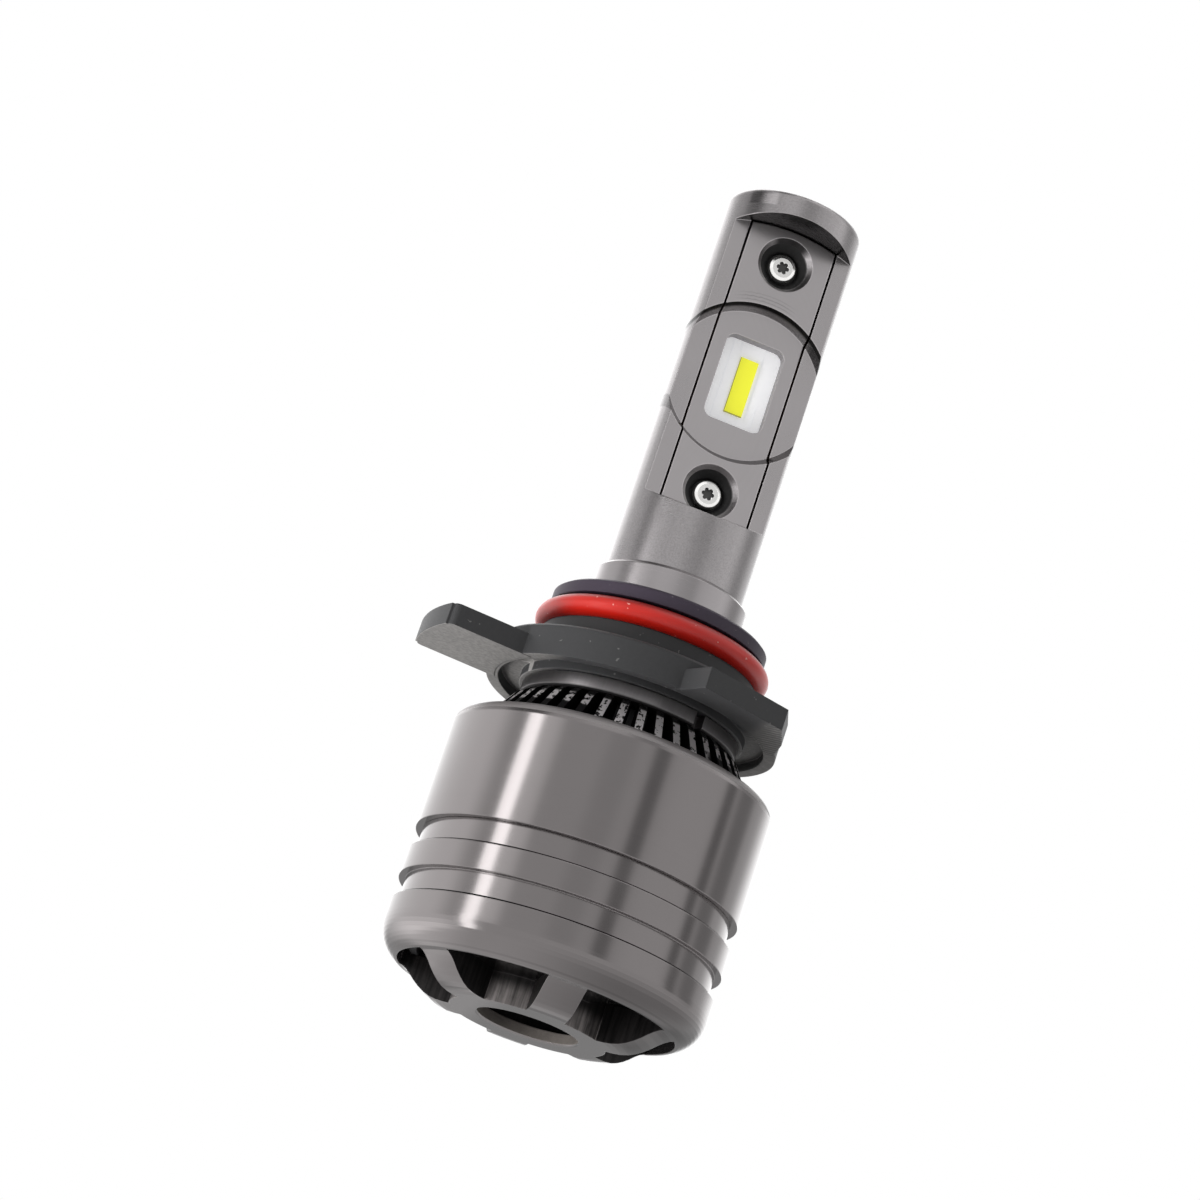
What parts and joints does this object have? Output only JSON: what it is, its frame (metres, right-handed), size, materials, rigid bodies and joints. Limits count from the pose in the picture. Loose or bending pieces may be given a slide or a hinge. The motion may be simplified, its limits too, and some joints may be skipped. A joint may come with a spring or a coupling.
{
  "type": "headlight bulb",
  "caption": "LED headlight bulb with windowed metal burner, turning three-lug collar with red seal, flared fin heat sink and fan-cooled round housing.",
  "frame": {"origin": "on the bulb's axis in the plane of the lugs' upper faces, which seat in the lamp", "axes": "+Z along the axis towards the burner's tip; the light strips face -Y and +Y; the long lug points towards -X"},
  "size_m": [0.0359, 0.0343, 0.0819],
  "materials": {
    "burner_metal": "gunmetal anodised, satin",
    "copper": "bare copper",
    "board_white": "white solder mask",
    "phosphor": "yellow phosphor",
    "bright_steel": "bright plated",
    "collar_plastic": "matt moulded black",
    "seal_rubber": "glossy red silicone",
    "black_rubber": "matt black",
    "lock_metal": "dark satin",
    "black_metal": "black anodised",
    "housing_metal": "grey anodised, satin",
    "board_green": "green solder mask",
    "black_plastic": "moulded black",
    "bearing_bronze": "sintered bronze",
    "magnet_grey": "plain"
  },
  "bodies": {
    "bulb_body": {"burner_column": "burner_metal", "copper_core": "copper", "led_board_front": "board_white", "led_board_rear": "board_white", "led_strip_front": "phosphor", "led_strip_rear": "phosphor", "led_cover_front": "burner_metal", "led_cover_rear": "burner_metal", "cover_screws_front": "bright_steel", "cover_screws_rear": "bright_steel", "neck_ring": "burner_metal", "lock_ring": "lock_metal", "finned_heatsink": "black_metal", "collar_boss": "black_metal", "housing_sleeve": "housing_metal", "rear_can": "housing_metal", "fan_guard": "housing_metal", "driver_board": "board_green", "driver_parts": "black_plastic", "board_screws": "bright_steel", "fan_frame": "black_plastic", "fan_bearings": "bearing_bronze", "fan_stator": "copper", "cable_grommet": "black_rubber"},
    "collar": {"mount_collar": "collar_plastic", "seal_ring": "seal_rubber", "grip_ring": "black_rubber"},
    "rotor": {"fan_impeller": "black_plastic", "fan_magnet": "magnet_grey", "fan_shaft": "bright_steel"}
  },
  "joints": [
    {"name": "collar_turn", "type": "hinge", "parent": "bulb_body", "child": "collar", "pos_m": [0, 0, 0.002], "axis": [0, 0, 1], "range_deg": [-180, 180]},
    {"name": "fan_spin", "type": "hinge", "parent": "bulb_body", "child": "rotor", "pos_m": [0, 0, -0.025], "axis": [0, 0, 1], "continuous": true}
  ]
}
